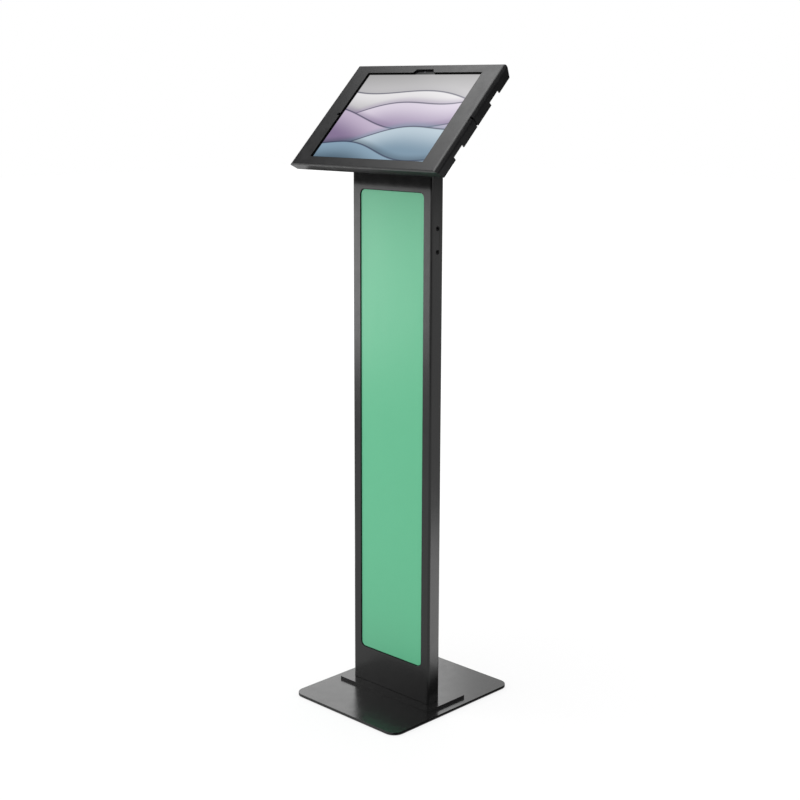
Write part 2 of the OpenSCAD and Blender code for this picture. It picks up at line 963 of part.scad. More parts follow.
// Fixed half of the cover's hinges, welded behind the tray
module tray_hinges() {
    color([0.2, 0.2, 0.21])
        head()
            for (side = [0, 1])
                mirror([side, 0, 0])
                    difference() {
                        union() {
                            translate([0, hinge_s, hinge_n])
                                bar_x(hinge_inner, hinge_split - slide_gap, knuckle_r);
                            translate([hinge_inner, hinge_s - hinge_leaf, hinge_n])
                                cube([hinge_fixed_w, hinge_leaf, tray_back - hinge_n]);
                        }
                        translate([0, hinge_s, hinge_n])
                            bar_x(hinge_inner - over, hinge_split + over, hinge_pin_r + thread_fit);
                    }
}

// Steel pins of the cover's hinges
module hinge_pins() {
    color([0.6, 0.6, 0.62])
        head()
            for (side = [0, 1])
                mirror([side, 0, 0])
                    translate([0, hinge_s, hinge_n])
                        bar_x(hinge_inner, hinge_outer, hinge_pin_r);
}

// Fixed barrel of the key lock with its collar behind the tray
module lock_barrel() {
    color([0.65, 0.65, 0.67])
        head()
            translate([lock_x, 0, 0])
                difference() {
                    union() {
                        layer(lock_face, tray_back)
                            circle(lock_collar_r);
                        layer(tray_back - 0.1, lock_end)
                            circle(lock_r);
                    }
                    layer(lock_face - over, lock_end + over)
                        circle(plug_r + run_fit);
                }
}

// Ring nut that clamps the lock in the tray
module lock_nut() {
    color([0.5, 0.5, 0.52])
        head()
            translate([lock_x, 0, 0])
                layer(tray_n, tray_n + 3)
                    difference() {
                        circle(lock_r + 2);
                        circle(lock_r + thread_fit);
                    }
}

// Turning plug of the lock with its key slot
module lock_plug() {
    color([0.72, 0.72, 0.74])
        head()
            translate([lock_x, 0, 0])
                difference() {
                    layer(lock_face - 0.3, cam_back)
                        circle(plug_r);
                    layer(lock_face - over, lock_face + 5)
                        square([1.6, 6], center = true);
                }
}

// Cam that swings over the cover's catch
module lock_cam() {
    color([0.6, 0.6, 0.62])
        head()
            translate([lock_x, 0, 0])
                layer(cam_back, cam_back + cam_t)
                    difference() {
                        union() {
                            circle(cam_half + 1);
                            translate([-cam_half, -cam_reach])
                                square([2 * cam_half, cam_reach]);
                        }
                        circle(1.5 + thread_fit);
                    }
}

// Screw that holds the cam on the plug
module cam_screw() {
    color([0.5, 0.5, 0.52])
        head()
            translate([lock_x, 0, 0]) {
                layer(cam_back, cam_back + cam_t + 0.1)
                    circle(1.5);
                layer(cam_back + cam_t, cam_back + cam_t + 1.4)
                    circle(3);
            }
}

// Section of the cover across its width, round at the two front corners
module cover_width_section(w, r, top, depth) {
    translate([-w / 2, top - depth])
        square([w, depth - r]);
    translate([-w / 2 + r, top - depth])
        square([w - 2 * r, depth]);
    for (side = [-1, 1])
        translate([side * (w / 2 - r), top - r])
            circle(r);
}

// A section drawn in width and normal, run along the slope
module along_slope(length) {
    rotate([90, 0, 0])
        linear_extrude(length, center = true)
            children();
}

// Outside of the cover's top wall along the slope, at the level n
function top_s(n) = cover_h / 2 + top_slope * n;

// Outside of the cover's bottom wall along the slope, at the level n
function bottom_s(n) = -cover_h / 2 - bottom_slope * n;

// Tangent length of a bend of radius r between the cover's face and a wall that leans by this slope
function fold_length(r, slope) = r / tan((90 - atan(slope)) / 2);

// Points along a bend of radius r around its centre, from one angle to another
function bend_points(centre, r, from, to) = [for (i = [0:bend_flats])
    let (angle = from + (to - from) * i / bend_flats) centre + r * [cos(angle), sin(angle)]];

// Section of the cover along its slope, round at the two front corners; each wall moves in by its own step
module cover_slope_section(bottom_in, top_in, front, back, r) {
    bottom_bend = [bottom_s(front) + bottom_in + fold_length(r, bottom_slope), front - r];
    top_bend = [top_s(front) - top_in - fold_length(r, top_slope), front - r];
    polygon(concat(
        bend_points(bottom_bend, r, 180 + atan(bottom_slope), 90),
        bend_points(top_bend, r, 90, -atan(top_slope)),
        [[top_s(back) - top_in, back], [bottom_s(back) + bottom_in, back]]));
}

// Cover without its openings
module cover_block() {
    deep = -cover_depth - over;
    in_w = cover_w - 2 * cover_sheet;
    in_fold_r = cover_fold_r - cover_sheet;
    difference() {
        intersection() {
            along_slope(2 * cover_h)
                cover_width_section(cover_w, cover_edge_r, 0, cover_depth);
            crosswise(-cover_w, cover_w)
                cover_slope_section(0, 0, 0, -cover_depth, cover_fold_r);
        }
        intersection() {
            along_slope(2 * cover_h)
                cover_width_section(in_w, cover_edge_r - cover_sheet, -cover_sheet, cover_depth);
            crosswise(-cover_w, cover_w)
                cover_slope_section(bottom_wall_s, top_wall_s, -cover_sheet, deep, in_fold_r);
        }
    }
}

// Screen opening with the camera notch and the sensor notch
module screen_opening() {
    round_rect(opening_w, opening_h, opening_r);
    polygon([[-notch_w / 2, opening_h / 2 - over], [notch_w / 2, opening_h / 2 - over],
        [notch_w / 2, opening_h / 2], [notch_top_w / 2, opening_h / 2 + notch_h],
        [-notch_top_w / 2, opening_h / 2 + notch_h], [-notch_w / 2, opening_h / 2]]);
    translate([-opening_w / 2 - sensor_out, 0])
        circle(sensor_r);
}

// Folded security cover over the tablet
module front_cover() {
    color([0.25, 0.25, 0.27])
        head()
            difference() {
                cover_block();
                layer(-cover_sheet - over, over)
                    screen_opening();
                for (side = [0, 1])
                    mirror([side, 0, 0]) {
                        for (s = [-1, 1])
                            translate([catch_inner - over, s * wall_notch_s, -cover_depth - over])
                                translate([0, -wall_notch / 2, 0])
                                    cube([cover_sheet + 2 * over, wall_notch, wall_notch_depth + over]);
                        translate([cover_w / 2 - cover_edge_r, -slit_w / 2, -cover_depth - over])
                            cube([cover_edge_r + over, slit_w, cover_depth + over - slit_start]);
                    }
            }
}

// Foam strips that press on the tablet's glass, thinner next to the hinges so that they swing clear
module cover_seal() {
    edge_x = opening_w / 2 + 0.8;
    edge_s = opening_h / 2 + 0.8;
    break_s = sensor_r + 2;
    break_x = notch_w / 2 + 2;
    color([0.1, 0.1, 0.1]) {
        head()
            layer(glass_n, -cover_sheet) {
                translate([edge_x, -edge_s])
                    square([3, 2 * edge_s]);
                translate([-edge_x - 3, break_s])
                    square([3, edge_s - break_s]);
                translate([-edge_x - 3, -edge_s])
                    square([3, edge_s - break_s]);
                translate([-edge_x, -edge_s - 3])
                    square([2 * edge_x, 3]);
            }
        head()
            layer(glass_n + seal_relief, -cover_sheet) {
                translate([break_x, edge_s])
                    square([edge_x - break_x, 2.6]);
                translate([-edge_x, edge_s])
                    square([edge_x - break_x, 2.6]);
            }
    }
}

// Moving half of the cover's hinges, welded behind its face
module cover_hinges() {
    color([0.25, 0.25, 0.27])
        head()
            for (side = [0, 1])
                mirror([side, 0, 0])
                    difference() {
                        union() {
                            translate([0, hinge_s, hinge_n])
                                bar_x(hinge_split, hinge_outer, knuckle_r);
                            translate([hinge_split, hinge_s - knuckle_r, hinge_n])
                                cube([hinge_outer - hinge_split, 2 * knuckle_r, -cover_sheet - hinge_n]);
                        }
                        translate([0, hinge_s, hinge_n])
                            bar_x(hinge_split - over, hinge_outer + over, hinge_pin_r + run_fit);
                    }
}

// Catch behind the cover's right wall for the lock's cam
module cover_catch() {
    lip_top = cam_back - 0.7;
    catch_back = 1 - cover_depth;
    color([0.25, 0.25, 0.27])
        head() {
            translate([catch_inner - 1.5, -catch_half, catch_back])
                cube([1.5, 2 * catch_half, -cover_edge_r - 1 - catch_back]);
            translate([catch_inner - 7, 2 - catch_half, lip_top - 2])
                cube([6, 2 * catch_half - 4, 2]);
        }
}

base_plate();
rubber_pads();
foot_plate();
foot_screws();
column_shoe();
column_bolts();
column_nuts();
column_shell();
panel_backer();
panel_magnets();
graphic_panel();
rear_cover();
rear_screws();
rear_nuts();
outlet_grommet();
column_cap();
head_bracket();
bracket_screws();
bracket_nuts();
pivot_bolt();
friction_washer();
spring_washer();
pivot_nut();
stop_pin();
rotor_plate();
tray_screws();
tray();
tray_grommet();
foam_pads();
tablet_guides();
tablet_body();
tablet_bezel();
tablet_display();
tablet_camera();
tray_hinges();
hinge_pins();
lock_barrel();
lock_nut();
lock_plug();
lock_cam();
cam_screw();
front_cover();
cover_seal();
cover_hinges();
cover_catch();
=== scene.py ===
# %% [markdown]
# # A tablet kiosk stand, dressed for a picture
# The object is a floor stand for a 13-inch tablet: a steel base, a folded steel column with a green
# panel set into its front, and a tilted head that locks a tablet behind a folded steel cover.
# The shapes come finished from a CAD model. Blender adds what the CAD model can't hold: the paint,
# the glass, the print, the light on them and a few small things that a welder leaves behind.
# Everything here is in metres, with +Z up and the front of the stand towards -Y.

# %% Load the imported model
import json
import math

import bmesh
import bpy
from mathutils import Matrix, Vector


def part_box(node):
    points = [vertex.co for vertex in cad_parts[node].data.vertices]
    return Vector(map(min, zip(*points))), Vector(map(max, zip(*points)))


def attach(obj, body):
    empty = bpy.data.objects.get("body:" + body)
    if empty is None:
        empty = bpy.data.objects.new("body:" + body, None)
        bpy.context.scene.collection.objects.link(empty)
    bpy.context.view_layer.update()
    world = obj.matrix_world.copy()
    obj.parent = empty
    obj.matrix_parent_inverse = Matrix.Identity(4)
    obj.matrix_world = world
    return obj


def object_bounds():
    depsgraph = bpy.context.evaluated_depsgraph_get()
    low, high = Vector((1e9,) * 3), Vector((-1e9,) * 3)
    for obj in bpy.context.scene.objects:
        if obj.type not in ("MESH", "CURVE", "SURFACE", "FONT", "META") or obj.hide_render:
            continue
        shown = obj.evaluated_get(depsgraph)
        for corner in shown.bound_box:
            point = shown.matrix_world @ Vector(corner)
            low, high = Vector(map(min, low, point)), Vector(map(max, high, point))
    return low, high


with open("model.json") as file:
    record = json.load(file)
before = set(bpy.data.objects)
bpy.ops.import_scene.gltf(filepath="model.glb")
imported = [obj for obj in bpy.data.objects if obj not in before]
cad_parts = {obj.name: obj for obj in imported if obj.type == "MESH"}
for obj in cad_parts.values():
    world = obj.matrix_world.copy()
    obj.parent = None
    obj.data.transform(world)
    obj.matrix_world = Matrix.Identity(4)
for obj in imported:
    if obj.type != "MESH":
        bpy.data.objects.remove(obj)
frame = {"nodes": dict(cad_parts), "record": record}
cad_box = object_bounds()
nodes = frame["nodes"]
MM = 0.001
size_mm = [round((high - low) / MM, 1) for low, high in zip(*cad_box)]
print(len(nodes), "solid pieces, overall size in mm:", size_mm)

# %% [markdown]
# ## The camera
# The picture is taken from the front right, a little above the screen, with a long lens so that the
# upright lines stay nearly parallel. A camera can be aimed with a Track To constraint, but here its
# three axes are worked out and put straight into its matrix: that keeps the small roll exact, and
# nothing else in the scene can move it.

# %% Make the camera
CAMERA_AT = Vector((1.6928, -1.7554, 1.0728))
AZIMUTH, PITCH, ROLL = (math.radians(angle) for angle in (44.257, 11.964, 0.169))
FOCAL_MM = 64.285
SENSOR_MM = 36
SHIFT_ACROSS, SHIFT_UP = 0.0044, -0.0096
FARTHEST_M = 60

forward = Vector((-math.sin(AZIMUTH) * math.cos(PITCH),
                  math.cos(AZIMUTH) * math.cos(PITCH),
                  -math.sin(PITCH)))
level = Vector((math.cos(AZIMUTH), math.sin(AZIMUTH), 0))
right = math.cos(ROLL) * level + math.sin(ROLL) * level.cross(forward)
up = right.cross(forward)

lens = bpy.data.cameras.new("studio_camera")
lens.lens = FOCAL_MM
lens.sensor_width = SENSOR_MM
lens.shift_x = SHIFT_ACROSS
lens.shift_y = SHIFT_UP
lens.clip_end = FARTHEST_M
camera = bpy.data.objects.new("studio_camera", lens)
axes = Matrix((right, up, -forward)).transposed().to_4x4()
camera.matrix_world = Matrix.Translation(CAMERA_AT) @ axes
bpy.context.scene.collection.objects.link(camera)
bpy.context.scene.camera = camera
bpy.context.scene.view_settings.view_transform = "Standard"
print("camera", round((CAMERA_AT - Vector((0, 0, CAMERA_AT.z))).length, 2), "m from the column's middle")

# %% [markdown]
# ## Colours and nodes
# Colours are written as the hex values that a paint or print shop would use. Those are sRGB, and
# Blender's shaders work with linear light, so one function turns the first into the second.
# A second function adds a shader node, sets its values and links it to nodes that exist already.
# That is all the help that building materials in code needs.

# %% Colour and node helpers
def linear(code):
    """Linear RGBA of an sRGB hex colour such as 59b186."""
    channels = [int(code[i:i + 2], 16) / 255 for i in (0, 2, 4)]
    return [c / 12.92 if c <= 0.04045 else ((c + 0.055) / 1.055) ** 2.4 for c in channels] + [1.0]


def add(tree, kind, feeds=None, **settings):
    """A new node. Each feed is an input's name or number with a value, or with an output to link."""
    node = tree.nodes.new(kind)
    for name, value in settings.items():
        setattr(node, name, value)
    for socket, feed in (feeds or {}).items():
        if isinstance(feed, bpy.types.NodeSocket):
            tree.links.new(feed, node.inputs[socket])
        else:
            node.inputs[socket].default_value = feed
    return node


def per_metre(size_in_mm):
    """Texture scale that makes a pattern's features about this large."""
    return 1 / (size_in_mm * MM)


print("mid grey 808080 is", round(linear("808080")[0], 3), "in linear light")

# %% [markdown]
# ## The studio
# A product picture like this one is taken on a white sweep: the floor and the background run together
# into plain white, and only a faint shadow shows where the base stands. Turning the lamps up until the
# floor burns out would also bleach the paint, so the white is given to the camera instead. The Light
# Path node tells which rays come from the camera, or from a glossy or clear surface, and those see
# white. All other rays see the room light, which is what lights the object.

# %% White world
ROOM_LIGHT = 0.96
SEEN_LIGHT = 1.0
world = bpy.data.worlds.new("white_studio")
world.use_nodes = True
bpy.context.scene.world = world
sky = world.node_tree
sky.nodes.clear()
path = add(sky, "ShaderNodeLightPath")
seen = add(sky, "ShaderNodeMath",
           {0: path.outputs["Is Camera Ray"], 1: path.outputs["Is Glossy Ray"]}, operation="ADD")
seen = add(sky, "ShaderNodeMath", {0: seen.outputs[0], 1: path.outputs["Is Transmission Ray"]},
           operation="ADD", use_clamp=True)
strength = add(sky, "ShaderNodeMapRange",
               {"Value": seen.outputs[0], "To Min": ROOM_LIGHT, "To Max": SEEN_LIGHT})
room = add(sky, "ShaderNodeBackground",
           {"Color": linear("ffffff"), "Strength": strength.outputs["Result"]})
add(sky, "ShaderNodeOutputWorld", {"Surface": room.outputs["Background"]})
print("world: white to the eye, room light", ROOM_LIGHT)

# %% [markdown]
# The floor works in the same way. It is a real matt surface that sends light back up at the object,
# and for the camera it also glows, which leaves only a trace of the shadow. The lamps already brighten
# it close to the stand, so there it glows less than further out, and the white stays even. Shiny paint
# sees the floor at a lower level, part glow and part matt, so the shadow shows in its reflections too.
# One flat plane is enough, and it isn't part of the object.

# %% White floor
FLOOR_SIDE = 28.0
# the camera's glow close to the stand and far from it, and how far close and far are
GLOW_NEAR, GLOW_FAR = 0.74, 0.92
NEAR_M, FAR_M = 0.3, 2.5
GLOW_TO_GLOSS = 0.48
# the share of the lamps' light that the floor gives to the camera, to shiny paint and to the room
SHADOW_SHARE = 0.22
SHARE_TO_GLOSS = 0.25
BOUNCE = 0.75


def rectangle(name, width, height, material):
    """Flat object around its own middle, with one material."""
    mesh = bpy.data.meshes.new(name)
    corners = [(x * width / 2, y * height / 2, 0) for x, y in ((-1, -1), (1, -1), (1, 1), (-1, 1))]
    mesh.from_pydata(corners, [], [(0, 1, 2, 3)])
    mesh.materials.append(material)
    return bpy.data.objects.new(name, mesh)


floor_paper = bpy.data.materials.new("matt_white_background_paper")
floor_paper.use_nodes = True
paper = floor_paper.node_tree
paper.nodes.clear()
path = add(paper, "ShaderNodeLightPath")
by_eye = path.outputs["Is Camera Ray"]
by_gloss = add(paper, "ShaderNodeMath",
               {0: path.outputs["Is Glossy Ray"], 1: path.outputs["Is Transmission Ray"]},
               operation="MAXIMUM")
share = add(paper, "ShaderNodeMapRange", {"Value": by_eye, "To Min": BOUNCE, "To Max": SHADOW_SHARE})
share = add(paper, "ShaderNodeMath",
            {0: by_gloss.outputs[0], 1: SHARE_TO_GLOSS - BOUNCE, 2: share.outputs["Result"]},
            operation="MULTIPLY_ADD")
tone = add(paper, "ShaderNodeCombineColor", {i: share.outputs[0] for i in range(3)})
matt = add(paper, "ShaderNodeBsdfDiffuse", {"Color": tone.outputs["Color"]})
spot = add(paper, "ShaderNodeTexCoord").outputs["Object"]
reach = add(paper, "ShaderNodeVectorMath", {0: spot}, operation="LENGTH").outputs["Value"]
evened = add(paper, "ShaderNodeMapRange",
             {"Value": reach, "From Min": NEAR_M, "From Max": FAR_M,
              "To Min": GLOW_NEAR, "To Max": GLOW_FAR},
             interpolation_type="SMOOTHSTEP")
glow = add(paper, "ShaderNodeMath", {0: by_eye, 1: evened.outputs["Result"]}, operation="MULTIPLY")
glow = add(paper, "ShaderNodeMath", {0: by_gloss.outputs[0], 1: GLOW_TO_GLOSS, 2: glow.outputs[0]},
           operation="MULTIPLY_ADD")
shine = add(paper, "ShaderNodeEmission", {"Strength": glow.outputs[0]})
both = add(paper, "ShaderNodeAddShader", {0: matt.outputs["BSDF"], 1: shine.outputs["Emission"]})
add(paper, "ShaderNodeOutputMaterial", {"Surface": both.outputs["Shader"]})

floor = rectangle("floor", FLOOR_SIDE, FLOOR_SIDE, floor_paper)
bpy.context.scene.collection.objects.link(floor)
print("floor", FLOOR_SIDE, "m square")

# %% [markdown]
# Black paint is seen mostly by what it mirrors, so the lamps are placed for their reflections. A large
# softbox overhead lights the tilted head, one at the front left draws the bright upper half of the
# column, and one behind to the left shows in the base plate. Two light panels lie on the floor: the one
# at the right brightens the foot of the column's side, and the one at the left shows in the lower lip of
# the cover. Their strength is given as the brightness of the cloth, which is easy to compare with paper
# white at 1, and Blender's watts follow from the area.

# %% Softboxes
def hang(thing, centre, aim):
    """Put a lamp or a card in its place, facing a point and hidden from the camera."""
    thing.location = centre
    thing.rotation_mode = "QUATERNION"
    thing.rotation_quaternion = (Vector(aim) - Vector(centre)).to_track_quat("-Z", "Y")
    thing.visible_camera = False
    bpy.context.scene.collection.objects.link(thing)


def softbox(name, centre, aim, width, height, brightness):
    """Area lamp whose cloth has this brightness."""
    lamp = bpy.data.lights.new(name, "AREA")
    lamp.shape = "RECTANGLE"
    lamp.size = width
    lamp.size_y = height
    lamp.energy = brightness * width * height * math.pi
    hang(bpy.data.objects.new(name, lamp), centre, aim)
    print(name, round(lamp.energy), "W")


softbox("softbox_overhead", (-0.08, -0.15, 2.30), (0, -0.1, 0.6), 1.5, 1.5, 2.6)
softbox("softbox_front_left", (-1.34, -0.91, 0.56), (0, 0, 0.56), 0.95, 0.48, 3.0)
softbox("softbox_back_left", (-1.58, 1.34, 0.95), (0, 0, 0.1), 0.8, 0.9, 1.25)
softbox("light_panel_low_right", (0.52, 0.43, 0.015), (0.52, 0.43, 1.0), 0.66, 0.66, 1.5)
softbox("light_panel_low_left", (-0.95, -0.1, 0.015), (-0.95, -0.1, 1.0), 0.5, 0.5, 2.2)

# %% [markdown]
# Bright walls all around would turn every edge of the cover grey. Photographers hang black cards, called
# flags, where a dark edge is wanted. Here one stands behind to the right, for the cover's side walls, and
# one hangs at the upper left, for the far end of the cover's face. One above to the right darkens the
# round bend between the face and the side wall, and one at the front right keeps the bend of the column
# dark. Two more are painted shade: one lies around the base as a painted contact shadow seen in the edges
# of its plate, and a narrow one hangs below the head as painted shade where the cover shades the column.
# They only show in reflections: the camera doesn't see them and they throw no shadow.

# %% Black flags
black_card = bpy.data.materials.new("matt_black_card")
black_card.use_nodes = True
card = black_card.node_tree
card.nodes.clear()
felt = add(card, "ShaderNodeBsdfDiffuse", {"Color": linear("0a0a0a")})
add(card, "ShaderNodeOutputMaterial", {"Surface": felt.outputs["BSDF"]})


def flag(name, centre, aim, width, height):
    """Black card that is only seen in reflections."""
    hung = rectangle(name, width, height, black_card)
    hung.visible_diffuse = hung.visible_transmission = hung.visible_shadow = False
    hang(hung, centre, aim)
    print(name, width, "by", height, "m")


flag("flag_back_right", (1.05, 0.95, 1.47), (0.17, 0, 1.47), 2.4, 1.28)
flag("flag_front_right", (1.55, -1.60, 0.52), (0, 0, 0.52), 1.2, 1.0)
# painted shadow: a black card lying around the base, seen only in reflections, stands in for its contact
# shadow on the floor
flag("painted_contact_shadow_beside_base", (0.035, 0.04, 0.003), (0.035, 0.04, 1), 0.32, 0.38)
# painted shade: a black card below the head, seen only in reflections, stands in for the cover's shade on
# the column
flag("painted_shade_under_head", (0, -0.076, 0.923), (0, 0, 0.923), 0.34, 0.030)
flag("flag_upper_left", (-1.38, -0.05, 1.81), (0, 0, 1.05), 1.5, 0.70)
flag("flag_above_right", (1.0, -0.15, 2.2), (1.0, -0.15, 0), 1.6, 1.5)

# %% [markdown]
# ## Powder-coated steel
# The base, the column and the bracket are folded and welded steel with a satin black powder coat. The
# powder melts in the oven into a skin with a slight orange peel, so its reflections are soft and break
# up a little. It could be one dark colour, but then it looks like plastic film: here the colour, the
# roughness and the height of the skin each vary. The real peel is about 1 mm wide, finer than a pixel,
# so it is drawn at 3 mm. The cover's powder is a finer, drier dark grey, so it shines less.

# %% Powder coats
PEEL_MM = 3.0
PEEL_HEIGHT_MM = 0.015
CLOUD_MM = 70
PATCH_MM = 18
# nearly all of a noise texture's values lie between these two
NOISE_LOW, NOISE_HIGH = 0.3, 0.7
SLIGHT_BUMP = 0.1


def start_material(name):
    """An empty material with its node tree and the coordinates that stay with the piece."""
    material = bpy.data.materials.new(name)
    material.use_nodes = True
    material.node_tree.nodes.clear()
    place = add(material.node_tree, "ShaderNodeTexCoord").outputs["Object"]
    return material, material.node_tree, place


def end_material(tree, shader):
    """The output that shows this shader."""
    add(tree, "ShaderNodeOutputMaterial", {"Surface": shader.outputs["BSDF"]})


def powder_coat(name, dark, light, smooth, rough, peel_mm, ior):
    """Paint skin between two shades and two roughnesses, with orange peel."""
    material, tree, place = start_material(name)
    cloud = add(tree, "ShaderNodeTexNoise", {"Vector": place, "Scale": per_metre(CLOUD_MM), "Detail": 3})
    shade = add(tree, "ShaderNodeMix",
                {0: cloud.outputs["Fac"], 6: linear(dark), 7: linear(light)}, data_type="RGBA")
    patch = add(tree, "ShaderNodeTexNoise", {"Vector": place, "Scale": per_metre(PATCH_MM), "Detail": 4})
    gloss = add(tree, "ShaderNodeMapRange",
                {"Value": patch.outputs["Fac"], "From Min": NOISE_LOW, "From Max": NOISE_HIGH,
                 "To Min": smooth, "To Max": rough})
    peel = add(tree, "ShaderNodeTexNoise", {"Vector": place, "Scale": per_metre(peel_mm), "Detail": 2})
    skin = add(tree, "ShaderNodeBump",
               {"Height": peel.outputs["Fac"], "Strength": SLIGHT_BUMP, "Distance": PEEL_HEIGHT_MM * MM})
    paint = add(tree, "ShaderNodeBsdfPrincipled",
                {"Base Color": shade.outputs[2], "Roughness": gloss.outputs["Result"], "IOR": ior,
                 "Normal": skin.outputs["Normal"]})
    end_material(tree, paint)
    return material


finishes = {
    "powder_coat_black": powder_coat("satin_black_powder_coat", "0e0e0e", "121212",
                                     0.20, 0.26, PEEL_MM, 1.5),
    "powder_coat_grey": powder_coat("fine_dark_grey_powder_coat", "131314", "171718",
                                    0.30, 0.38, PEEL_MM / 2, 1.5),
}
print("powder coats:", [m.name for m in finishes.values()])

# %% [markdown]
# The cover's cut edges around the screen are the exception. They lie in shade inside the opening, and that
# shade is painted here: the edges turn near black and dull, as painted shade. Powder is drawn to a part by
# static charge,
# and it hardly reaches into narrow gaps, so the edges of the opening stay thinly coated, dark and dull.
# To find them, the material needs to know where it is on the screen. The head's axes, across and up the
# tilted screen and out of it, give that place: u and v run from -1 to 1 over the opening, and the larger
# of the two tells how far out a point is. The object's coordinates turn with the head, so this stays right.

# %% The screen's own axes and the painted shade in its opening
FACE_CENTRE = Vector((0, -25.3, 1031.5)) * MM
TILT = math.radians(45)
ACROSS = Vector((1, 0, 0))
UPHILL = Vector((0, math.cos(TILT), math.sin(TILT)))
OUTWARD = ACROSS.cross(UPHILL)
HALF_WIDE = 132 * MM
HALF_HIGH = 99 * MM
# painted shade up to the first value of how far out a point is, unshaded paint from the second
PAINTED_SHADE_TO, UNSHADED_FROM = 0.996, 1.0
# colour of the painted shade on the opening's cut edges, then the sheen of plain paint and of that painted
# shade
OPENING_PAINTED_SHADE = "050505"
UNSHADED_SHEEN, PAINTED_SHADE_SHEEN = 0.5, 0.03


def screen_place(tree, place):
    """Outputs for u across the screen, v up it, and how far out a point is."""
    from_centre = add(tree, "ShaderNodeVectorMath", {0: place, 1: FACE_CENTRE},
                      operation="SUBTRACT").outputs["Vector"]
    u, v = (add(tree, "ShaderNodeVectorMath", {0: from_centre, 1: axis},
                operation="DOT_PRODUCT").outputs["Value"]
            for axis in (ACROSS / HALF_WIDE, UPHILL / HALF_HIGH))
    far_u, far_v = (add(tree, "ShaderNodeMath", {0: way}, operation="ABSOLUTE").outputs[0]
                    for way in (u, v))
    outwards = add(tree, "ShaderNodeMath", {0: far_u, 1: far_v}, operation="MAXIMUM").outputs[0]
    return u, v, outwards


tree = finishes["powder_coat_grey"].node_tree
paint = tree.nodes["Principled BSDF"]
outwards = screen_place(tree, add(tree, "ShaderNodeTexCoord").outputs["Object"])[2]
# painted shade: the opening's cut edges turn near black and lose their sheen, in place of the shade inside
# the opening
painted_shade_mask = add(tree, "ShaderNodeMapRange",
           {"Value": outwards, "From Min": PAINTED_SHADE_TO, "From Max": UNSHADED_FROM,
            "To Min": 1.0, "To Max": 0.0}).outputs["Result"]
coat_colour = paint.inputs["Base Color"].links[0].from_socket
shade = add(tree, "ShaderNodeMix", {0: painted_shade_mask, 6: coat_colour, 7: linear(OPENING_PAINTED_SHADE)}, data_type="RGBA")
dull = add(tree, "ShaderNodeMapRange", {"Value": painted_shade_mask, "To Min": UNSHADED_SHEEN, "To Max": PAINTED_SHADE_SHEEN})
tree.links.new(shade.outputs[2], paint.inputs["Base Color"])
tree.links.new(dull.outputs["Result"], paint.inputs["Specular IOR Level"])
# size of the opening whose cut edges carry the painted shade
print("painted shade around an opening of", 2 * HALF_WIDE, "by", 2 * HALF_HIGH, "m")

# %% [markdown]
# ## Bare metal
# Screws, nuts, pins and hinges are zinc-plated steel: a bright grey with a faint cloudy haze from the
# bath. The grub screws, the rear screws and the tray behind the panel are blackened in hot oxide and
# oil, which leaves a dark metal with soft highlights. The lock is chromed brass, polished, so it is
# nearly a mirror with fine handling marks. A metal takes its tint from its base colour, and keeps the
# shader's usual IOR.

# %% Zinc, black oxide, chrome and aluminium
GRAIN_HEIGHT_MM = 0.02


def bare_metal(name, dark, light, smooth, rough, haze_mm, grain_mm, metallic=1.0):
    """Metal with a cloudy haze in its tint and a fine grain in its roughness."""
    material, tree, place = start_material(name)
    haze = add(tree, "ShaderNodeTexNoise", {"Vector": place, "Scale": per_metre(haze_mm), "Detail": 4})
    tint = add(tree, "ShaderNodeMix",
               {0: haze.outputs["Fac"], 6: linear(dark), 7: linear(light)}, data_type="RGBA")
    grain = add(tree, "ShaderNodeTexNoise", {"Vector": place, "Scale": per_metre(grain_mm), "Detail": 3})
    gloss = add(tree, "ShaderNodeMapRange",
                {"Value": grain.outputs["Fac"], "From Min": NOISE_LOW, "From Max": NOISE_HIGH,
                 "To Min": smooth, "To Max": rough})
    skin = add(tree, "ShaderNodeBump",
               {"Height": grain.outputs["Fac"], "Strength": SLIGHT_BUMP, "Distance": GRAIN_HEIGHT_MM * MM})
    metal = add(tree, "ShaderNodeBsdfPrincipled",
                {"Base Color": tint.outputs[2], "Metallic": metallic, "Roughness": gloss.outputs["Result"],
                 "Normal": skin.outputs["Normal"]})
    end_material(tree, metal)
    return material


metals = {
    "zinc_steel": bare_metal("bright_zinc_plated_steel", "9a9c9d", "c3c5c4", 0.28, 0.42, 8, 1.2),
    "black_steel": bare_metal("hot_blackened_steel", "1c1c1e", "2b2a2b", 0.34, 0.48, 10, 1.5, 0.85),
    "chrome_lock": bare_metal("polished_chrome", "cfd1d4", "dddfe1", 0.06, 0.16, 6, 0.8),
    "tablet_shell": bare_metal("blasted_anodised_aluminium", "a9abaf", "b6b8bb", 0.36, 0.44, 30, 0.7),
}
finishes.update(metals)
print("metals:", [m.name for m in metals.values()])

# %% [markdown]
# ## The green panel
# The panel is a rigid PVC sheet, printed in one flat green and covered with a satin film. The ink is
# even, so the life comes from the film: long soft reflections with a faint ripple from rolling it on.
# The ripple runs up the panel, so the noise is stretched along Z by scaling the coordinates down there.

# %% Printed sheet
INK_DARK = "58b387"
INK_LIGHT = "5eb88c"
RIPPLE_MM = 22
RIPPLE_STRETCH = 0.12
RIPPLE_HEIGHT_MM = 0.1
RIPPLE_BUMP = 0.05
PRINT_DOT_MM = 1.6
FILM_SMOOTH, FILM_ROUGH = 0.26, 0.36

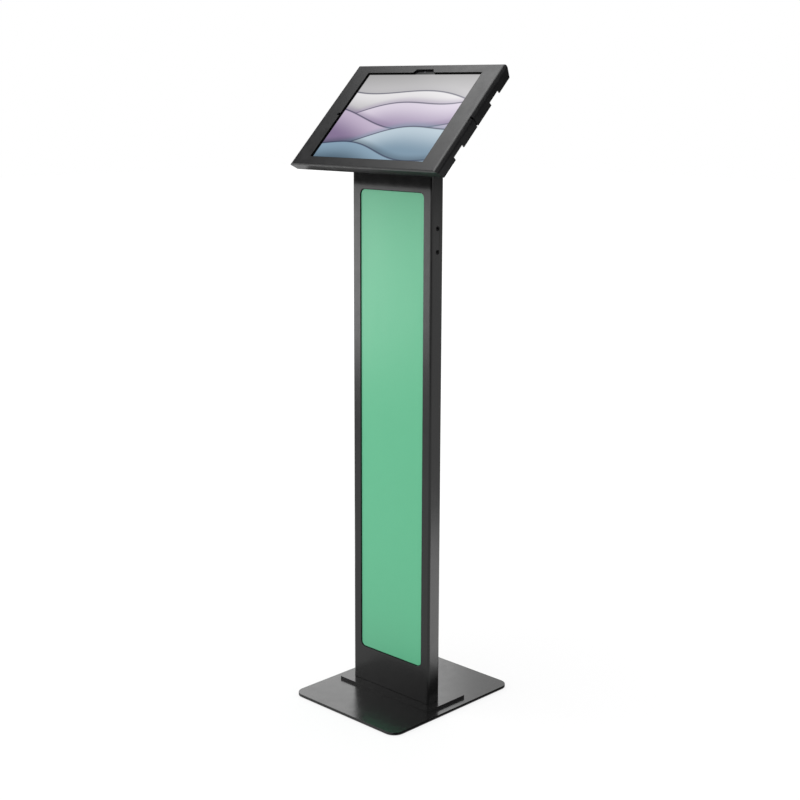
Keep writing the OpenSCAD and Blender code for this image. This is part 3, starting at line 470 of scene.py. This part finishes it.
material, tree, place = start_material("printed_pvc_with_satin_film")
stretch = add(tree, "ShaderNodeMapping", {"Vector": place, "Scale": (1, 1, RIPPLE_STRETCH)})
ripple = add(tree, "ShaderNodeTexNoise",
             {"Vector": stretch.outputs["Vector"], "Scale": per_metre(RIPPLE_MM), "Detail": 2})
dots = add(tree, "ShaderNodeTexNoise", {"Vector": place, "Scale": per_metre(PRINT_DOT_MM), "Detail": 2})
ink = add(tree, "ShaderNodeMix",
          {0: dots.outputs["Fac"], 6: linear(INK_DARK), 7: linear(INK_LIGHT)}, data_type="RGBA")
gloss = add(tree, "ShaderNodeMapRange",
            {"Value": ripple.outputs["Fac"], "To Min": FILM_SMOOTH, "To Max": FILM_ROUGH})
film = add(tree, "ShaderNodeBump",
           {"Height": ripple.outputs["Fac"], "Strength": RIPPLE_BUMP, "Distance": RIPPLE_HEIGHT_MM * MM})
sheet = add(tree, "ShaderNodeBsdfPrincipled",
            {"Base Color": ink.outputs[2], "Roughness": gloss.outputs["Result"], "IOR": 1.5,
             "Normal": film.outputs["Normal"]})
end_material(tree, sheet)
finishes["panel_print"] = material
print("panel ink", INK_DARK, "to", INK_LIGHT)

# %% [markdown]
# ## Rubber, moulded plastic, nylon and foam
# The pads and cable rings are EPDM rubber, dull with a trace of bloom. The cap and the tablet guides are
# ABS moulded against an etched tool, so they have a pebble grain. The friction washer is natural nylon,
# waxy and pale. The seal and the rests are closed-cell foam with small open pits on the cut face. All
# four are the same recipe, a colour with a cell pattern in its height, at different sizes and depths.

# %% Soft and moulded materials
CELLS_IN_BLOOM = 12
ROUGHNESS_SPREAD = 0.06
CELL_BUMP = 0.4


def moulded(name, dark, light, roughness, cell_mm, depth_mm, ior):
    """Non-metal with a cell grain pressed or foamed into its skin."""
    material, tree, place = start_material(name)
    cells = add(tree, "ShaderNodeTexVoronoi",
                {"Vector": place, "Scale": per_metre(cell_mm)}, feature="SMOOTH_F1")
    bloom = add(tree, "ShaderNodeTexNoise",
                {"Vector": place, "Scale": per_metre(CELLS_IN_BLOOM * cell_mm), "Detail": 3})
    shade = add(tree, "ShaderNodeMix",
                {0: bloom.outputs["Fac"], 6: linear(dark), 7: linear(light)}, data_type="RGBA")
    gloss = add(tree, "ShaderNodeMapRange",
                {"Value": cells.outputs["Distance"], "To Min": roughness - ROUGHNESS_SPREAD,
                 "To Max": roughness + ROUGHNESS_SPREAD})
    skin = add(tree, "ShaderNodeBump",
               {"Height": cells.outputs["Distance"], "Strength": CELL_BUMP, "Distance": depth_mm * MM},
               invert=True)
    body = add(tree, "ShaderNodeBsdfPrincipled",
               {"Base Color": shade.outputs[2], "Roughness": gloss.outputs["Result"], "IOR": ior,
                "Normal": skin.outputs["Normal"]})
    end_material(tree, body)
    return material


soft_finishes = {
    "rubber": moulded("moulded_epdm_rubber", "121212", "1b1b1a", 0.80, 1.0, 0.04, 1.52),
    "moulded_plastic": moulded("pebble_grained_abs", "141414", "191919", 0.52, 0.9, 0.06, 1.53),
    "nylon": moulded("natural_nylon", "dcd8c8", "e8e5d8", 0.48, 1.5, 0.02, 1.53),
    "foam": moulded("closed_cell_foam", "161617", "222223", 0.92, 0.8, 0.25, 1.45),
}
finishes.update(soft_finishes)
print("soft and moulded finishes:", [m.name for m in soft_finishes.values()])

# %% [markdown]
# ## The tablet's glass
# Around the display the glass is printed black from behind, so it is a smooth clear surface over a very
# dark one, with faint wipe marks that only change the roughness. The camera's lens has a purple bloom
# from its coating, drawn as rings around the lens's own middle. Both are coated against reflections,
# which is what the low specular level stands for.

# %% Black glass and lens
WIPE_MM = 25
GLASS_SMOOTH, GLASS_ROUGH = 0.05, 0.14
BLOOM_FROM, BLOOM_TO = 0.3 * MM, 1.9 * MM
# each ring of the bloom: where it lies between the two distances above, and its colour
LENS_RINGS = ((0.0, "05060a"), (0.45, "1b1430"), (0.62, "060608"))
LENS_RIM = "0c0c0e"

material, tree, place = start_material("black_printed_glass")
wipes = add(tree, "ShaderNodeTexNoise",
            {"Vector": place, "Scale": per_metre(WIPE_MM), "Detail": 5, "Distortion": 1.2})
gloss = add(tree, "ShaderNodeMapRange",
            {"Value": wipes.outputs["Fac"], "To Min": GLASS_SMOOTH, "To Max": GLASS_ROUGH})
depth = add(tree, "ShaderNodeMix",
            {0: wipes.outputs["Fac"], 6: linear("050506"), 7: linear("09090b")}, data_type="RGBA")
glass = add(tree, "ShaderNodeBsdfPrincipled",
            {"Base Color": depth.outputs[2], "Roughness": gloss.outputs["Result"], "IOR": 1.52,
             "Specular IOR Level": 0.05})
end_material(tree, glass)
finishes["bezel_glass"] = material

lens_low, lens_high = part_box("tablet_camera")
lens_centre = (lens_low + lens_high) / 2
material, tree, place = start_material("coated_camera_lens")
out = add(tree, "ShaderNodeVectorMath", {0: place, 1: lens_centre}, operation="DISTANCE")
ring = add(tree, "ShaderNodeMapRange",
           {"Value": out.outputs["Value"], "From Min": BLOOM_FROM, "From Max": BLOOM_TO})
coat = add(tree, "ShaderNodeValToRGB", {"Fac": ring.outputs["Result"]})
for stop, code in LENS_RINGS:
    mark = coat.color_ramp.elements.new(stop) if stop else coat.color_ramp.elements[0]
    mark.color = linear(code)
coat.color_ramp.elements[-1].color = linear(LENS_RIM)
eye = add(tree, "ShaderNodeBsdfPrincipled",
          {"Base Color": coat.outputs["Color"], "Roughness": 0.06, "IOR": 1.6, "Specular IOR Level": 0.1})
end_material(tree, eye)
finishes["lens"] = material
print("lens at", [round(c, 4) for c in lens_centre])

# %% [markdown]
# ## The picture on the display
# The lit display shows a plain screen picture: rolling dunes, one behind the other, from pale grey over
# lilac to slate blue. It could be an image file, but a few waves are enough: each dune is everything
# below a sine line, with a light crest, a darker foot, a thin dark outline and a soft shadow on the dune
# behind it. The outermost 2 mm of a display stay unlit, which draws a thin black line inside the cover's
# opening.

# %% Lit display
# heights and widths in the picture are in v, which runs from -1 to 1 up the screen
SKY_PALE, SKY_GREY = "e3e1e4", "a9a8a8"
SKY_FROM, SKY_TO = 0.2, 1.0
OUTLINE = "262b4d"
OUTLINE_FROM, OUTLINE_TO, OUTLINE_SHARE = 0.004, 0.024, 0.8
SHADOW_REACH, SHADOW_DEPTH = 0.16, 0.55
CREST_TO_FOOT = 0.55
LINE_SOFTNESS = 0.004
SCREEN_GLOW = 0.85
# the picture is lit up to the first value of how far out a point is, and unlit from the second
LIT_TO, UNLIT_FROM = 0.974, 0.978
SMEAR_MM = 30
SCREEN_SMOOTH, SCREEN_ROUGH = 0.16, 0.24

material, tree, place = start_material("lit_display_under_glass")
u, v, outwards = screen_place(tree, place)
haze = add(tree, "ShaderNodeMapRange",
           {"Value": v, "From Min": SKY_FROM, "From Max": SKY_TO}).outputs["Result"]
picture = add(tree, "ShaderNodeMix",
              {0: haze, 6: linear(SKY_PALE), 7: linear(SKY_GREY)}, data_type="RGBA").outputs[2]

# each dune: height of its line, slope, wave height, waves across, start of the wave, crest, foot
dunes = [
    (0.52, -0.20, 0.16, 2.1, 0.4, "f1eff1", "b9b7bb"),
    (0.22, 0.26, 0.13, 2.7, 2.2, "e6dcec", "ad9cbb"),
    (-0.10, -0.10, 0.17, 2.3, 4.4, "cdbdd6", "8d7a9d"),
    (-0.42, 0.24, 0.12, 3.0, 0.9, "c4d6e2", "7f9bb0"),
    (-0.78, -0.16, 0.10, 3.4, 3.0, "8fabc0", "33495a"),
]
for height, slope, wave, turns, start, crest, foot in dunes:
    turn = add(tree, "ShaderNodeMath", {0: u, 1: turns, 2: start}, operation="MULTIPLY_ADD").outputs[0]
    swing = add(tree, "ShaderNodeMath", {0: turn}, operation="SINE").outputs[0]
    line = add(tree, "ShaderNodeMath", {0: u, 1: slope, 2: height}, operation="MULTIPLY_ADD").outputs[0]
    line = add(tree, "ShaderNodeMath", {0: swing, 1: wave, 2: line}, operation="MULTIPLY_ADD").outputs[0]
    below = add(tree, "ShaderNodeMath", {0: line, 1: v}, operation="SUBTRACT").outputs[0]
    shadow = add(tree, "ShaderNodeMapRange",
                 {"Value": below, "From Min": -SHADOW_REACH, "From Max": 0.0,
                  "To Min": 0.0, "To Max": SHADOW_DEPTH},
                 interpolation_type="SMOOTHSTEP").outputs["Result"]
    picture = add(tree, "ShaderNodeMix", {0: shadow, 6: picture, 7: linear(foot)},
                  data_type="RGBA").outputs[2]
    fall = add(tree, "ShaderNodeMapRange", {"Value": below, "From Min": 0.0, "From Max": CREST_TO_FOOT},
               interpolation_type="SMOOTHSTEP").outputs["Result"]
    dune = add(tree, "ShaderNodeMix", {0: fall, 6: linear(crest), 7: linear(foot)},
               data_type="RGBA").outputs[2]
    in_front = add(tree, "ShaderNodeMapRange",
                   {"Value": below, "From Min": -LINE_SOFTNESS,
                    "From Max": LINE_SOFTNESS}).outputs["Result"]
    picture = add(tree, "ShaderNodeMix", {0: in_front, 6: picture, 7: dune}, data_type="RGBA").outputs[2]
    apart = add(tree, "ShaderNodeMath", {0: below}, operation="ABSOLUTE").outputs[0]
    drawn = add(tree, "ShaderNodeMapRange",
                {"Value": apart, "From Min": OUTLINE_FROM, "From Max": OUTLINE_TO,
                 "To Min": OUTLINE_SHARE, "To Max": 0.0},
                interpolation_type="SMOOTHSTEP").outputs["Result"]
    picture = add(tree, "ShaderNodeMix", {0: drawn, 6: picture, 7: linear(OUTLINE)},
                  data_type="RGBA").outputs[2]

lit = add(tree, "ShaderNodeMapRange",
          {"Value": outwards, "From Min": LIT_TO, "From Max": UNLIT_FROM,
           "To Min": SCREEN_GLOW, "To Max": 0.0})
smear = add(tree, "ShaderNodeTexNoise", {"Vector": place, "Scale": per_metre(SMEAR_MM), "Detail": 4})
gloss = add(tree, "ShaderNodeMapRange",
            {"Value": smear.outputs["Fac"], "To Min": SCREEN_SMOOTH, "To Max": SCREEN_ROUGH})
panel = add(tree, "ShaderNodeBsdfPrincipled",
            {"Base Color": linear("020203"), "Roughness": gloss.outputs["Result"], "IOR": 1.5,
             "Specular IOR Level": 0.2, "Emission Color": picture,
             "Emission Strength": lit.outputs["Result"]})
end_material(tree, panel)
finishes["display"] = material
print("display picture:", len(dunes), "dunes,", len(tree.nodes), "nodes")

# %% [markdown]
# ## Putting the finishes on
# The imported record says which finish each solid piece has, so one loop can hand them out. Sheet metal
# and moulded parts never end in a knife edge: the paint gathers to a small radius, and that radius is
# what catches the light along an edge. A Bevel modifier gives it without touching the CAD mesh, after a
# Weld modifier has joined the separate corners that the CAD file brings. A Weighted Normal modifier then
# lets the large flat faces set the shading where they run into a bend, so that they stay flat to the eye.

# %% Hand out finishes and round the edges
SAME_CORNER_MM = 0.002
SHARP_FROM = math.radians(40)
ROUNDING_STEPS = 3
LARGEST_FACE_WINS = 100


def round_edges(piece, radius_mm):
    """Small radius on every sharp edge of a piece."""
    join = piece.modifiers.new("join_corners", "WELD")
    join.merge_threshold = SAME_CORNER_MM * MM
    edge = piece.modifiers.new("edge_radius", "BEVEL")
    edge.width = radius_mm * MM
    edge.segments = ROUNDING_STEPS
    edge.limit_method = "ANGLE"
    edge.angle_limit = SHARP_FROM
    edge.harden_normals = True
    shade = piece.modifiers.new("flat_faces_shade_flat", "WEIGHTED_NORMAL")
    shade.weight = LARGEST_FACE_WINS
    shade.keep_sharp = True


for part in frame["record"]["subparts"]:
    piece = nodes[part["node"]]
    piece.data.materials.clear()
    piece.data.materials.append(finishes[part["material_slot"]])

edge_radius_mm = {
    "base_plate": 0.6, "foot_plate": 0.6, "column_shell": 0.5, "front_cover": 0.5,
    "rear_cover": 0.35, "graphic_panel": 0.3, "column_cap": 0.4, "head_bracket": 0.5,
    "rotor_plate": 0.4, "tray": 0.4, "outlet_grommet": 0.4, "tray_grommet": 0.4,
    "rubber_pads": 0.2, "tablet_body": 0.8, "tablet_guides": 0.5, "lock_barrel": 0.3,
    "lock_plug": 0.15, "lock_cam": 0.2, "pivot_bolt": 0.3, "rear_screws": 0.25,
    "tray_screws": 0.25, "cover_hinges": 0.3, "tray_hinges": 0.3,
}
for name, radius_mm in edge_radius_mm.items():
    round_edges(nodes[name], radius_mm)
print("finishes on", len(nodes), "pieces, edges rounded on", len(edge_radius_mm))

# %% [markdown]
# ## Weld beads
# Behind the head, two steel cheeks are welded to the tilted plate. A weld leaves a fillet with
# overlapping ripples, one for each drop of metal. A round bar would stand for it from afar, but the
# ripples are what the eye knows a weld by. So the fillet is swept along the joint in small steps, and
# its radius swells and shrinks with each ripple, a little later at the edges, which curves them.

# %% Weld beads on the bracket
WELD_RIPPLE_MM = 2.6
WELD_STEP_MM = 0.4
STEPS_AROUND = 8
# each end starts at this share of the full size and grows over about so many steps
END_SIZE, END_STEPS = 0.35, 9
EDGE_LAG = 0.9
RIPPLE_SHARE = 0.06
HOLLOW = 0.18


def weld_bead(name, start, end, along_plate, along_cheek, leg_mm):
    """Rippled fillet in the corner from start to end."""
    steps = int((end - start).length / (WELD_STEP_MM * MM))
    bm = bmesh.new()
    rings = []
    for i in range(steps + 1):
        travel = (end - start) * (i / steps)
        taper = min(1, END_SIZE + min(i, steps - i) / END_STEPS)
        ring = [bm.verts.new(start + travel)]
        for k in range(STEPS_AROUND + 1):
            angle = math.radians(90) * k / STEPS_AROUND
            lag = EDGE_LAG * math.cos(2 * angle)
            ripple = math.sin(2 * math.pi * travel.length / (WELD_RIPPLE_MM * MM) + lag)
            leg = leg_mm * MM * taper * (1 - RIPPLE_SHARE + RIPPLE_SHARE * ripple)
            sag = 1 - HOLLOW * math.sin(2 * angle)
            way = math.cos(angle) * along_plate + math.sin(angle) * along_cheek
            ring.append(bm.verts.new(start + travel + leg * sag * way))
        rings.append(ring)
    for one, two in zip(rings, rings[1:]):
        for k in range(len(one)):
            bm.faces.new((one[k], two[k], two[k - 1], one[k - 1]))
    bm.faces.new(rings[0])
    bm.faces.new(list(reversed(rings[-1])))
    bmesh.ops.recalc_face_normals(bm, faces=bm.faces)
    mesh = bpy.data.meshes.new(name)
    bm.to_mesh(mesh)
    bm.free()
    mesh.shade_smooth()
    mesh.materials.append(finishes["powder_coat_black"])
    bead = bpy.data.objects.new(name, mesh)
    bpy.context.scene.collection.objects.link(bead)
    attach(bead, "stand")
    return bead


PLATE_BACK = -20.5 * MM
CHEEK_OUT = 49 * MM
CHEEK_IN = 45 * MM
HALF_BEAD = 40 * MM * UPHILL
WELD_LEG_MM = 3.0
for side, word in ((-1, "left"), (1, "right")):
    for cheek_x, away, where in ((CHEEK_OUT, 1, "outer"), (CHEEK_IN, -1, "inner")):
        corner = FACE_CENTRE + side * cheek_x * ACROSS + PLATE_BACK * OUTWARD
        bead = weld_bead(f"weld_{word}_{where}", corner - HALF_BEAD, corner + HALF_BEAD,
                         side * away * ACROSS, -OUTWARD, WELD_LEG_MM)
print("weld beads made, each with", len(bead.data.polygons), "faces")
